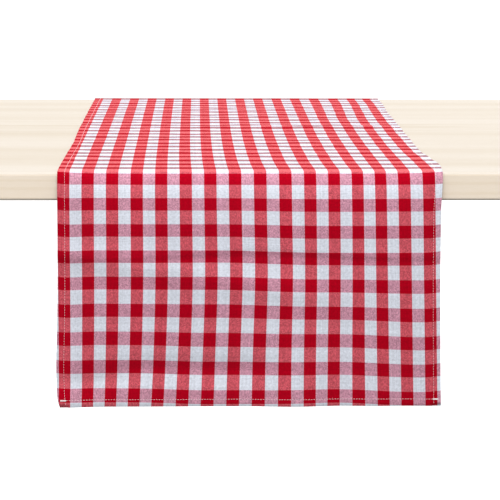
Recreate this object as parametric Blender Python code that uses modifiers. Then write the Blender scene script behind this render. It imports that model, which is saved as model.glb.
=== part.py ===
"""A gingham table runner draped over a plain pine table, with the table that carries it.

Run it with: blender --background --python part.py

Units are metres and +Z is up. +X runs along the table and -Y is the side where a guest sits.
The origin lies on the floor under the middle of the table.
"""

import math

import bmesh
import bpy
from mathutils import Matrix, Vector

# Table top
TABLE_LENGTH = 1.200
TABLE_DEPTH = 0.700
TABLE_HEIGHT = 0.750
TOP_THICKNESS = 0.0295
TOP_EDGE_RADIUS = 0.003

# Legs: square at the rails, tapered on the two inner faces below them
LEG_SIZE = 0.050
LEG_FOOT_SIZE = 0.036
LEG_INSET = 0.030
LEG_EDGE_RADIUS = 0.003
TAPER_BELOW_RAIL = 0.030

# Rails under the top, joined by tenons with a shoulder on all four sides
RAIL_THICKNESS = 0.022
END_RAIL_HEIGHT = 0.070
LONG_RAIL_HEIGHT = 0.045
RAIL_EDGE_RADIUS = 0.0015
SIDE_SHOULDER = 0.006
END_SHOULDER = 0.010
LEG_TENON_LENGTH = 0.026
RAIL_TENON_LENGTH = 0.014

# Angle brackets that hold the top to the rails, and their screws
BRACKET_ARM = 0.028
BRACKET_WIDTH = 0.018
BRACKET_THICKNESS = 0.002
END_BRACKET_Y = 0.160
LONG_BRACKET_X = 0.250
SCREW_RADIUS = 0.002
SCREW_LENGTH = 0.014
SCREW_HEAD_RADIUS = 0.0038
SCREW_HEAD_HEIGHT = 0.0022
SCREW_HEAD_STEPS = 4
SCREW_SIDES = 16

# Nail-in glides under the legs
GLIDE_RADIUS = 0.013
GLIDE_THICKNESS = 0.005
GLIDE_RIM = 0.001
GLIDE_NAIL_RADIUS = 0.0015
GLIDE_NAIL_LENGTH = 0.016
GLIDE_SIDES = 32

# Runner: 400 mm wide and 1.20 m long when flat, hanging equally at the front and the back
RUNNER_WIDTH = 0.400
DROP = 0.249
CLOTH_THICKNESS = 0.0006
HEM_WIDTH = 0.0085
HEM_THICKNESS = 0.0008
SEAM_FROM_FOLD = 0.0015
SEAM_FROM_EDGE = 0.0026
THREAD_RADIUS = 0.0002
BACKTACK_LENGTH = 0.0060
BEND_SEGMENTS = 8

# Clearance between pieces that rest on or sit in each other, and how far a cutter sticks out
GAP = 0.0003
CUT_MARGIN = 0.002
HOLE_SIDES = 16
SHARP_ANGLE = math.radians(40)

TOP_UNDERSIDE = TABLE_HEIGHT - TOP_THICKNESS
RAIL_TOP = TOP_UNDERSIDE - GAP
LEG_X = TABLE_LENGTH / 2 - LEG_INSET - LEG_SIZE / 2
LEG_Y = TABLE_DEPTH / 2 - LEG_INSET - LEG_SIZE / 2
END_RAIL_LENGTH = 2 * (LEG_Y - LEG_SIZE / 2 - GAP)
END_RAIL_INNER_X = LEG_X - RAIL_THICKNESS / 2
LONG_RAIL_LENGTH = 2 * (END_RAIL_INNER_X - GAP)
TENON_THICKNESS = RAIL_THICKNESS - 2 * SIDE_SHOULDER
END_TENON = Vector((TENON_THICKNESS, LEG_TENON_LENGTH, END_RAIL_HEIGHT - 2 * END_SHOULDER))
LONG_TENON = Vector((RAIL_TENON_LENGTH, TENON_THICKNESS, LONG_RAIL_HEIGHT - 2 * END_SHOULDER))
HEM_BOTTOM = TABLE_HEIGHT - DROP
SEAM_INSET = HEM_WIDTH - SEAM_FROM_FOLD
# Distances outwards from the table top's surface: the hem lies under the cloth, the thread on it
HEM_OFFSET = GAP
CLOTH_OFFSET = HEM_OFFSET + HEM_THICKNESS + GAP
THREAD_OFFSET = CLOTH_OFFSET + CLOTH_THICKNESS + GAP + THREAD_RADIUS

PINE = ("pine", (0.86, 0.74, 0.56), 0.45, 0.0)
ZINC = ("zinc_plated_steel", (0.62, 0.62, 0.64), 0.35, 1.0)
NYLON = ("nylon", (0.72, 0.70, 0.66), 0.50, 0.0)
COTTON = ("gingham_cotton", (0.78, 0.16, 0.20), 0.90, 0.0)
THREAD = ("white_thread", (0.92, 0.90, 0.88), 0.80, 0.0)


def clear_scene():
    for obj in list(bpy.data.objects):
        bpy.data.objects.remove(obj)


def new_collection(name):
    collection = bpy.data.collections.new(name)
    bpy.context.scene.collection.children.link(collection)
    return collection


def material(finish):
    """The Principled material of a finish: (name, colour, roughness, metallic)."""
    name, colour, roughness, metallic = finish
    made = bpy.data.materials.get(name)
    if made is None:
        made = bpy.data.materials.new(name)
        made.use_nodes = True
        shader = made.node_tree.nodes["Principled BSDF"]
        shader.inputs["Base Color"].default_value = (*colour, 1.0)
        shader.inputs["Roughness"].default_value = roughness
        shader.inputs["Metallic"].default_value = metallic
        made.diffuse_color = (*colour, 1.0)
    return made


def add_empty(name, place):
    """The point that the pieces of a moving body are parented to."""
    empty = bpy.data.objects.new(name, None)
    empty.matrix_world = Matrix.Translation(place)
    parts.objects.link(empty)
    return empty


def add_mesh(name, bm, finish, place=Matrix.Identity(4)):
    """Turns a bmesh into a part of the object."""
    bmesh.ops.recalc_face_normals(bm, faces=bm.faces)
    mesh = bpy.data.meshes.new(name)
    bm.to_mesh(mesh)
    bm.free()
    mesh.shade_smooth()
    mesh.set_sharp_from_angle(angle=SHARP_ANGLE)
    mesh.materials.append(material(finish))
    obj = bpy.data.objects.new(name, mesh)
    obj.matrix_world = place
    parts.objects.link(obj)
    return obj


def block(bm, size, centre):
    """Adds a box of that size to a bmesh and returns its vertices."""
    made = bmesh.ops.create_cube(bm, size=1.0)["verts"]
    bmesh.ops.scale(bm, vec=size, verts=made)
    bmesh.ops.translate(bm, vec=centre, verts=made)
    return made


def box_part(name, size, centre, finish):
    bm = bmesh.new()
    block(bm, size, (0, 0, 0))
    return add_mesh(name, bm, finish, Matrix.Translation(centre))


def soften(obj, radius, segments=2):
    """Rounds the sharp edges of a part."""
    bevel = obj.modifiers.new("soft_edges", "BEVEL")
    bevel.width = radius
    bevel.segments = segments
    bevel.limit_method = "ANGLE"
    bevel.angle_limit = SHARP_ANGLE
    return bevel


def add_cutter(name, bm, place):
    """A helper that a Boolean uses. It isn't part of the object."""
    bmesh.ops.recalc_face_normals(bm, faces=bm.faces)
    mesh = bpy.data.meshes.new(name)
    bm.to_mesh(mesh)
    bm.free()
    cutter = bpy.data.objects.new(name, mesh)
    cutter.matrix_world = place
    cutter.hide_render = True
    cutter.display_type = "WIRE"
    cutters.objects.link(cutter)
    return cutter


def box_cutter(name, size, centre):
    bm = bmesh.new()
    block(bm, size, (0, 0, 0))
    return add_cutter(name, bm, Matrix.Translation(centre))


def hole_cutter(name, radius, depth, place):
    """A cylinder that runs from just outside the surface to that depth along its own -Z."""
    bm = bmesh.new()
    rod = bmesh.ops.create_cone(
        bm,
        cap_ends=True,
        segments=HOLE_SIDES,
        radius1=radius,
        radius2=radius,
        depth=depth + CUT_MARGIN,
    )["verts"]
    bmesh.ops.translate(bm, vec=(0, 0, (CUT_MARGIN - depth) / 2), verts=rod)
    return add_cutter(name, bm, place)


def boolean(obj, helper, operation="DIFFERENCE"):
    modifier = obj.modifiers.new(helper.name, "BOOLEAN")
    modifier.operation = operation
    modifier.object = helper


def turned(profile, sides):
    """A bmesh turned about Z from (radius, height) points that start and end on the axis."""
    bm = bmesh.new()
    points = [bm.verts.new((radius, 0, height)) for radius, height in profile]
    edges = [bm.edges.new(pair) for pair in zip(points, points[1:])]
    bmesh.ops.spin(
        bm,
        geom=points + edges,
        axis=(0, 0, 1),
        cent=(0, 0, 0),
        angle=math.tau,
        steps=sides,
        use_merge=True,
    )
    bmesh.ops.remove_doubles(bm, verts=bm.verts, dist=GAP / 10)
    return bm


# --- table ---


def make_top():
    top = box_part(
        "table_top",
        (TABLE_LENGTH, TABLE_DEPTH, TOP_THICKNESS),
        (0, 0, TABLE_HEIGHT - TOP_THICKNESS / 2),
        PINE,
    )
    soften(top, TOP_EDGE_RADIUS, segments=4)
    return top


def make_leg(name, side_x, side_y):
    """One leg, straight where the rail joins it and tapered towards its outer corner below."""
    length = RAIL_TOP - GLIDE_THICKNESS - GAP
    straight = END_RAIL_HEIGHT + TAPER_BELOW_RAIL
    bm = bmesh.new()
    block(bm, (LEG_SIZE, LEG_SIZE, length), (0, 0, -length / 2))
    bmesh.ops.bisect_plane(
        bm,
        geom=bm.verts[:] + bm.edges[:] + bm.faces[:],
        plane_co=(0, 0, -straight),
        plane_no=(0, 0, 1),
    )
    for vert in bm.verts:
        if vert.co.z < -length + GAP:
            if vert.co.x * side_x < 0:
                vert.co.x += side_x * (LEG_SIZE - LEG_FOOT_SIZE)
            if vert.co.y * side_y < 0:
                vert.co.y += side_y * (LEG_SIZE - LEG_FOOT_SIZE)
    place = Vector((side_x * LEG_X, side_y * LEG_Y, RAIL_TOP))
    leg = add_mesh(name, bm, PINE, Matrix.Translation(place))
    soften(leg, LEG_EDGE_RADIUS)
    pocket = END_TENON + Vector((2 * GAP, GAP + CUT_MARGIN, 2 * GAP))
    face_y = side_y * (LEG_Y - LEG_SIZE / 2)
    depth_y = side_y * (END_TENON.y + GAP - CUT_MARGIN) / 2
    centre = (place.x, face_y + depth_y, RAIL_TOP - END_RAIL_HEIGHT / 2)
    boolean(leg, box_cutter(name + "_mortise", pocket, centre))
    return leg


def foot_centre(side_x, side_y):
    """The middle of a leg's foot, which the taper shifts towards the outer corner."""
    shift = (LEG_SIZE - LEG_FOOT_SIZE) / 2
    return Vector((side_x * (LEG_X + shift), side_y * (LEG_Y + shift), 0))


def make_glide(name, leg, side_x, side_y):
    """A round glide whose nail stands in a hole in the leg."""
    nail_top = GLIDE_THICKNESS + GLIDE_NAIL_LENGTH
    bm = turned(
        [
            (0, nail_top),
            (GLIDE_NAIL_RADIUS, nail_top - GLIDE_NAIL_RADIUS),
            (GLIDE_NAIL_RADIUS, GLIDE_THICKNESS),
            (GLIDE_RADIUS - GLIDE_RIM, GLIDE_THICKNESS),
            (GLIDE_RADIUS, GLIDE_THICKNESS - GLIDE_RIM),
            (GLIDE_RADIUS, GLIDE_RIM),
            (GLIDE_RADIUS - GLIDE_RIM, 0),
            (0, 0),
        ],
        GLIDE_SIDES,
    )
    centre = foot_centre(side_x, side_y)
    add_mesh(name, bm, NYLON, Matrix.Translation(centre))
    hole_top = Matrix.Translation(centre + Vector((0, 0, GLIDE_THICKNESS + GAP)))
    into_leg = hole_top @ Matrix.Rotation(math.pi, 4, "X")
    hole = hole_cutter(
        name + "_hole", GLIDE_NAIL_RADIUS + GAP, GLIDE_NAIL_LENGTH + GAP, into_leg
    )
    boolean(leg, hole)


def make_end_rail(name, side_x):
    """A rail along Y between two legs, with a tenon at each end and a mortise for the long rail."""
    middle = Vector((side_x * LEG_X, 0, RAIL_TOP - END_RAIL_HEIGHT / 2))
    rail = box_part(
        name, (RAIL_THICKNESS, END_RAIL_LENGTH, END_RAIL_HEIGHT), middle, PINE
    )
    soften(rail, RAIL_EDGE_RADIUS)
    reach = END_RAIL_LENGTH + 2 * END_TENON.y
    tongue = box_cutter(name + "_tenons", (END_TENON.x, reach, END_TENON.z), middle)
    boolean(rail, tongue, "UNION")
    pocket = LONG_TENON + Vector((GAP + CUT_MARGIN, 2 * GAP, 2 * GAP))
    depth_x = side_x * (LONG_TENON.x + GAP - CUT_MARGIN) / 2
    centre = (side_x * END_RAIL_INNER_X + depth_x, 0, RAIL_TOP - LONG_RAIL_HEIGHT / 2)
    boolean(rail, box_cutter(name + "_mortise", pocket, centre))
    return rail


def make_long_rail():
    """The rail along X under the middle of the top, tenoned into both end rails."""
    middle = Vector((0, 0, RAIL_TOP - LONG_RAIL_HEIGHT / 2))
    rail = box_part(
        "long_rail", (LONG_RAIL_LENGTH, RAIL_THICKNESS, LONG_RAIL_HEIGHT), middle, PINE
    )
    soften(rail, RAIL_EDGE_RADIUS)
    reach = LONG_RAIL_LENGTH + 2 * LONG_TENON.x
    tongue = box_cutter("long_rail_tenons", (reach, LONG_TENON.y, LONG_TENON.z), middle)
    boolean(rail, tongue, "UNION")
    return rail


def bracket_places():
    """(name, place, rail's name) of each bracket. Its own +X points away from the rail's face."""
    found = []
    for side, side_x in (("left", -1), ("right", 1)):
        for end, y in (("front", -END_BRACKET_Y), ("back", END_BRACKET_Y)):
            corner = Matrix.Translation((side_x * END_RAIL_INNER_X, y, TOP_UNDERSIDE))
            turn = Matrix.Rotation(math.pi if side_x > 0 else 0, 4, "Z")
            found.append(
                (f"bracket_{side}_{end}", corner @ turn, f"end_rail_{side}")
            )
    for side, side_x in (("left", -1), ("right", 1)):
        face_y = side_x * RAIL_THICKNESS / 2
        corner = Matrix.Translation((side_x * LONG_BRACKET_X, face_y, TOP_UNDERSIDE))
        turn = Matrix.Rotation(side_x * math.pi / 2, 4, "Z")
        found.append((f"bracket_middle_{side}", corner @ turn, "long_rail"))
    return found


def make_brackets():
    """Six angle brackets, each with a screw up into the top and one sideways into its rail."""
    arm = GAP + BRACKET_THICKNESS / 2
    far = GAP + BRACKET_ARM
    hole_at = GAP + BRACKET_THICKNESS + (BRACKET_ARM - BRACKET_THICKNESS) / 2
    for name, place, rail_name in bracket_places():
        bm = bmesh.new()
        outline = [(arm, -far), (arm, -arm), (far, -arm)]
        points = [bm.verts.new((x, -BRACKET_WIDTH / 2, z)) for x, z in outline]
        edges = [bm.edges.new(pair) for pair in zip(points, points[1:])]
        made = bmesh.ops.extrude_edge_only(bm, edges=edges)["geom"]
        moved = [item for item in made if isinstance(item, bmesh.types.BMVert)]
        bmesh.ops.translate(bm, vec=(0, BRACKET_WIDTH, 0), verts=moved)
        bracket = add_mesh(name, bm, ZINC, place)
        wall = bracket.modifiers.new("plate", "SOLIDIFY")
        wall.thickness = BRACKET_THICKNESS
        wall.offset = 0
        wall.use_even_offset = True
        # A screw's own -Z is its point, and its origin lies on the plate's outer face.
        up = Matrix.Translation((hole_at, 0, -GAP - BRACKET_THICKNESS))
        up = place @ up @ Matrix.Rotation(math.pi, 4, "X")
        side = Matrix.Translation((GAP + BRACKET_THICKNESS, 0, -hole_at))
        side = place @ side @ Matrix.Rotation(math.pi / 2, 4, "Y")
        depth = SCREW_LENGTH + GAP
        for where, screw, wood in (
            ("top", up, bpy.data.objects["table_top"]),
            ("rail", side, bpy.data.objects[rail_name]),
        ):
            hole = hole_cutter(f"{name}_{where}_hole", SCREW_RADIUS + GAP, depth, screw)
            boolean(bracket, hole)
            boolean(wood, hole)
            make_screw(name.replace("bracket", f"{where}_screw"), screw)


def make_screw(name, place):
    """A round-head screw that points along -Z, its head a gap above the plate."""
    turns = [k / SCREW_HEAD_STEPS * math.pi / 2 for k in range(SCREW_HEAD_STEPS + 1)]
    head = [(SCREW_HEAD_RADIUS * math.sin(a), GAP + SCREW_HEAD_HEIGHT * math.cos(a)) for a in turns]
    shank = [(SCREW_RADIUS, GAP), (SCREW_RADIUS, 2 * SCREW_RADIUS - SCREW_LENGTH), (0, -SCREW_LENGTH)]
    add_mesh(name, turned(head + shank, SCREW_SIDES), ZINC, place)


def make_table():
    make_top()
    for end, side_y in (("front", -1), ("back", 1)):
        for side, side_x in (("left", -1), ("right", 1)):
            leg = make_leg(f"leg_{end}_{side}", side_x, side_y)
            make_glide(f"glide_{end}_{side}", leg, side_x, side_y)
    make_end_rail("end_rail_left", -1)
    make_end_rail("end_rail_right", 1)
    make_long_rail()
    make_brackets()


# --- runner ---


def drape_path(offset, bottom):
    """(y, z) points of a line over the table top, that far outside its surface, down to a height."""
    radius = TOP_EDGE_RADIUS + offset
    centre_y = TABLE_DEPTH / 2 - TOP_EDGE_RADIUS
    centre_z = TABLE_HEIGHT - TOP_EDGE_RADIUS
    turns = [k / BEND_SEGMENTS * math.pi / 2 for k in range(BEND_SEGMENTS + 1)]
    front = [(-centre_y - radius * math.cos(a), centre_z + radius * math.sin(a)) for a in turns]
    back = [(-y, z) for y, z in reversed(front)]
    return [(front[0][0], bottom), *front, *back, (back[-1][0], bottom)]


def draped_strip(name, x_from, x_to, offset, thickness, bottom, finish):
    """A strip of cloth over the table, whose inner face is that far outside the table top."""
    bm = bmesh.new()
    path = drape_path(offset + thickness / 2, bottom)
    points = [bm.verts.new((x_from, y, z)) for y, z in path]
    edges = [bm.edges.new(pair) for pair in zip(points, points[1:])]
    made = bmesh.ops.extrude_edge_only(bm, edges=edges)["geom"]
    moved = [item for item in made if isinstance(item, bmesh.types.BMVert)]
    bmesh.ops.translate(bm, vec=(x_to - x_from, 0, 0), verts=moved)
    strip = add_mesh(name, bm, finish)
    wall = strip.modifiers.new("cloth", "SOLIDIFY")
    wall.thickness = thickness
    wall.offset = 0
    wall.use_even_offset = True
    return strip


def thread(name, points):
    """A sewing thread as a thin round tube."""
    curve = bpy.data.curves.new(name, "CURVE")
    curve.dimensions = "3D"
    curve.bevel_depth = THREAD_RADIUS
    curve.bevel_resolution = 2
    curve.use_fill_caps = True
    spline = curve.splines.new("POLY")
    spline.points.add(len(points) - 1)
    for point, place in zip(spline.points, points):
        point.co = (*place, 1)
    curve.materials.append(material(THREAD))
    obj = bpy.data.objects.new(name, curve)
    parts.objects.link(obj)
    return obj


def make_side_edge(side, side_x):
    """The hem that runs over the table along one side of the cloth, and its seam."""
    half = RUNNER_WIDTH / 2
    edges = sorted((side_x * half, side_x * (half - HEM_WIDTH)))
    hem = draped_strip(f"hem_{side}", *edges, HEM_OFFSET, HEM_THICKNESS, HEM_BOTTOM, COTTON)
    seam_bottom = HEM_BOTTOM + SEAM_INSET + 2 * THREAD_RADIUS + GAP
    path = drape_path(THREAD_OFFSET, seam_bottom)
    seam = thread(f"seam_{side}", [(side_x * (half - SEAM_INSET), y, z) for y, z in path])
    return [hem, seam]


def make_end_edge(end, side_y):
    """The hem along the bottom of one drop, its seam, and the seam's two backtacks."""
    hem_y = side_y * (TABLE_DEPTH / 2 + HEM_OFFSET + HEM_THICKNESS / 2)
    hem_length = RUNNER_WIDTH - 2 * (HEM_WIDTH + GAP)
    size = (hem_length, HEM_THICKNESS, HEM_WIDTH)
    hem = box_part(f"hem_{end}", size, (0, hem_y, HEM_BOTTOM + HEM_WIDTH / 2), COTTON)
    y = side_y * (TABLE_DEPTH / 2 + THREAD_OFFSET)
    z = HEM_BOTTOM + SEAM_INSET
    outer = RUNNER_WIDTH / 2 - SEAM_FROM_EDGE
    inner = outer - BACKTACK_LENGTH
    made = [hem, thread(f"seam_{end}", [(-outer, y, z), (outer, y, z)])]
    below = z - 2 * THREAD_RADIUS - GAP
    for side, side_x in (("left", -1), ("right", 1)):
        ends = [(side_x * outer, y, below), (side_x * inner, y, below)]
        made.append(thread(f"backtack_{end}_{side}", ends))
    return made


def make_runner():
    """The cloth and its edges, all held by an empty on the line that the runner slides along."""
    half = RUNNER_WIDTH / 2
    made = [
        draped_strip(
            "runner_cloth", -half, half, CLOTH_OFFSET, CLOTH_THICKNESS, HEM_BOTTOM, COTTON
        )
    ]
    for side, side_x in (("left", -1), ("right", 1)):
        made += make_side_edge(side, side_x)
    for end, side_y in (("front", -1), ("back", 1)):
        made += make_end_edge(end, side_y)
    slide = add_empty("runner_slide_axis", (0, 0, TABLE_HEIGHT))
    for piece in made:
        piece.parent = slide
        piece.matrix_parent_inverse = slide.matrix_world.inverted()


clear_scene()
parts = new_collection("table_with_runner")
cutters = new_collection("cutters")
make_table()
make_runner()
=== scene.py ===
# %% [markdown]
# # A gingham runner on a small pale table
#
# The object is a narrow red-and-white checked cotton cloth, hemmed all round, that
# lies across a plain wooden table and hangs over its front and back edges. The wood,
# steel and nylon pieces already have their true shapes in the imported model, so this
# lesson only gives them finishes. The cloth is plain there, and is made anew here.

# %% Load the table and keep its size
import math

import bmesh
import bpy
import numpy as np
from mathutils import Matrix, Vector


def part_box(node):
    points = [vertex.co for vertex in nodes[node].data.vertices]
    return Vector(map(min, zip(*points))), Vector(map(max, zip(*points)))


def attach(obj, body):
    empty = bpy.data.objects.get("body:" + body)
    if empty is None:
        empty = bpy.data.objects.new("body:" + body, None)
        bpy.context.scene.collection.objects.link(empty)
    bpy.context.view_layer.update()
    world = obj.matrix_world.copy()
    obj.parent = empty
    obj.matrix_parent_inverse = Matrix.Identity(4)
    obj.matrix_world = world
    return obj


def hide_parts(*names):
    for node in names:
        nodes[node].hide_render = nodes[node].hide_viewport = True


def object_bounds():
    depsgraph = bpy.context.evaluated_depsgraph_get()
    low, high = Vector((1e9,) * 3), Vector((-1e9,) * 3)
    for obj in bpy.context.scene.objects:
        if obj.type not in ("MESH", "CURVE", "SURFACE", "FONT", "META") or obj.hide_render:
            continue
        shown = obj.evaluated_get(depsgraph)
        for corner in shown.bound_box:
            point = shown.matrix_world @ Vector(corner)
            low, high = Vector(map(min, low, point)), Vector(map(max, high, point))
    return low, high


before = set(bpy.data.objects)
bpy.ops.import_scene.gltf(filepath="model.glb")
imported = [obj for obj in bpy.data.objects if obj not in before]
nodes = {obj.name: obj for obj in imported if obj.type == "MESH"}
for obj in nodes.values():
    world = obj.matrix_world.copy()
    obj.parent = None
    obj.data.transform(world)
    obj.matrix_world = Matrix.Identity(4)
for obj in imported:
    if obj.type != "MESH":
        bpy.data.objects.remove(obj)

MM = 0.001
cad_low, cad_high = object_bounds()
print("packed table:", [round(side, 4) for side in cad_high - cad_low], "m")

# %% [markdown]
# ## The camera
#
# The table is seen from a little above and almost straight ahead, through a long
# lens, so its edges stay nearly parallel. The camera is aimed by three turns: the
# first tips it from looking straight down, the next swings it to the right, and the
# last levels it.

# %% Aim the camera
LENS_MM = 138.5
EYE = Vector((-0.0513, -2.3252, 1.041))
LOOKS_DOWN, LOOKS_RIGHT, LEANS = (math.radians(a) for a in (10.68, 1.478, 0.211))

camera = bpy.data.objects.new("camera", bpy.data.cameras.new("camera"))
camera.data.lens = LENS_MM
camera.matrix_world = (
    Matrix.Translation(EYE)
    @ Matrix.Rotation(-LOOKS_RIGHT, 4, "Z")
    @ Matrix.Rotation(math.pi / 2 - LOOKS_DOWN, 4, "X")
    @ Matrix.Rotation(LEANS, 4, "Z")
)
bpy.context.collection.objects.link(camera)
bpy.context.scene.camera = camera
print("camera height", round(EYE.z, 3), "m")

# %% [markdown]
# ## Two small helpers
#
# Colours are written as sRGB hex, the way a paint chart gives them, but Blender's
# shaders want linear light, so one function turns them. A second adds any node with
# its settings and links in one line, so that a material reads as a list of steps.

# %% Colours and nodes
MIX_A, MIX_B, MIX_OUT = 6, 7, 2  # a colour Mix node's own socket numbers


def linear(hex_colour):
    """An sRGB colour such as "#C8102E" as linear red, green, blue and alpha."""
    parts = [int(hex_colour[i : i + 2], 16) / 255 for i in (1, 3, 5)]
    return (
        *(p / 12.92 if p <= 0.04045 else ((p + 0.055) / 1.055) ** 2.4 for p in parts),
        1.0,
    )


def add_node(tree, kind, sockets=None, **settings):
    """A new node. A socket is given a number or colour, or an output to be linked to."""
    node = tree.nodes.new("ShaderNode" + kind)
    for name, value in settings.items():
        setattr(node, name, value)
    for name, value in (sockets or {}).items():
        if isinstance(value, bpy.types.NodeSocket):
            tree.links.new(value, node.inputs[name])
        else:
            node.inputs[name].default_value = value
    return node


def new_finish(name, **shader):
    """An empty material with its Principled shader, whose plain numbers are set here."""
    finish = bpy.data.materials.new(name)
    finish.use_nodes = True
    tree = finish.node_tree
    surface = tree.nodes["Principled BSDF"]
    for socket, value in shader.items():
        surface.inputs[socket.replace("_", " ")].default_value = value
    return finish, tree, surface


print("white is", linear("#FFFFFF"))

# %% [markdown]
# ## The room
#
# A pale studio: a wide white floor, an even white sky and one large soft lamp high
# above and a little in front. It makes the top of the cloth bright and leaves the
# hanging part softer, and it picks out every fold that leans forward or back. A white
# floor would light the folds from below and flatten them, so it gives back less light
# than it shows, as if black cloth lay there just out of sight.

# %% Floor, sky and lamps
SKY = 0.41
SKY_SHOWN = 1.05
TOP_LAMP = 1.24
FLOOR_REACH = 60.0
FLOOR_SHOWN, FLOOR_GIVES_BACK = "#EFEFEF", "#929292"

floor_mesh = bpy.data.meshes.new("studio_floor")
shape = bmesh.new()
bmesh.ops.create_grid(shape, x_segments=1, y_segments=1, size=FLOOR_REACH)
shape.to_mesh(floor_mesh)
shape.free()
floor = bpy.data.objects.new("studio_floor", floor_mesh)
bpy.context.collection.objects.link(floor)
floor_paint, tree, surface = new_finish("white_floor_paint", Roughness=0.9)
bounced = add_node(tree, "LightPath").outputs["Is Diffuse Ray"]
floor_colour = add_node(
    tree, "Mix",
    {"Factor": bounced, MIX_A: linear(FLOOR_SHOWN), MIX_B: linear(FLOOR_GIVES_BACK)},
    data_type="RGBA",
).outputs[MIX_OUT]
tree.links.new(floor_colour, surface.inputs["Base Color"])
surface.inputs["Specular IOR Level"].default_value = 0.0
floor_mesh.materials.append(floor_paint)

sky = bpy.data.worlds.new("studio_sky")
sky.use_nodes = True
bpy.context.scene.world = sky
sky.node_tree.nodes["Background"].inputs["Color"].default_value = linear("#FFFFFF")
seen = add_node(sky.node_tree, "LightPath")
strength = add_node(
    sky.node_tree,
    "MapRange",
    {"Value": seen.outputs["Is Camera Ray"], "To Min": SKY, "To Max": SKY_SHOWN},
)
sky.node_tree.links.new(
    strength.outputs["Result"], sky.node_tree.nodes["Background"].inputs["Strength"]
)


def hang_lamp(name, kind, place, aim, **settings):
    """A lamp at a place, turned to its aim. Only the sun-like one shines in gloss."""
    lamp = bpy.data.objects.new(name, bpy.data.lights.new(name, kind))
    for setting, value in settings.items():
        setattr(lamp.data, setting, value)
    lamp.location = place
    towards = Vector(aim) - Vector(place)
    lamp.rotation_euler = towards.to_track_quat("-Z", "Y").to_euler()
    lamp.visible_glossy = kind == "SUN"
    bpy.context.collection.objects.link(lamp)


hang_lamp(
    "lamp_above", "SUN", (0, -1.3, 3), (0, 0, 0),
    energy=math.pi * TOP_LAMP, angle=math.radians(35),
)
hang_lamp(
    "lamp_front_left", "AREA", (-1.7, -2.6, 2.5), (0, -0.2, 0.6),
    energy=9.0, size=1.6,
)
hang_lamp(
    "lamp_behind", "AREA", (0.4, 2.9, 1.6), (0, 0.2, 0.5),
    energy=22.0, size=2.0,
)
bpy.context.scene.view_settings.view_transform = "Standard"
bpy.context.scene.view_settings.look = "None"
print("sky", SKY, "top lamp", TOP_LAMP)

# %% [markdown]
# ## Soap-finished softwood
#
# The table is a pale straight-grained softwood, planed and washed with soap, which
# leaves it chalky rather than glossy. Its grain is drawn from what the tree did: the
# yearly rings are a distance from the heart of the log, wavering along the board, and
# fine fibres run the same way. Stretching the coordinates along the board is all that
# turns round noise into grain. The same recipe turns for legs and rails.

# %% Wood
RING_WIDTH = 2.4 * MM
FIBRE_WIDTH = 0.45 * MM
WAVERS_A_METRE, PATCHES_A_METRE = 9.0, 14.0
WAVER = 0.03  # metres that a ring wanders along the board
DRAWN_OUT = 0.035  # how much narrower than long the grain's marks are
RING_SHOWS, FIBRE_SHOWS, PATCH_SHOWS = 0.30, 0.35, 0.45
GRAIN_RELIEF = 0.15 * MM
# Paler wood for the board's upright faces: a painted highlight that stands in for light.
PAINTED_LIGHT_EDGE_PALE, PAINTED_LIGHT_EDGE_DARK = "#F0E3D3", "#E4D4BC"


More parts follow.
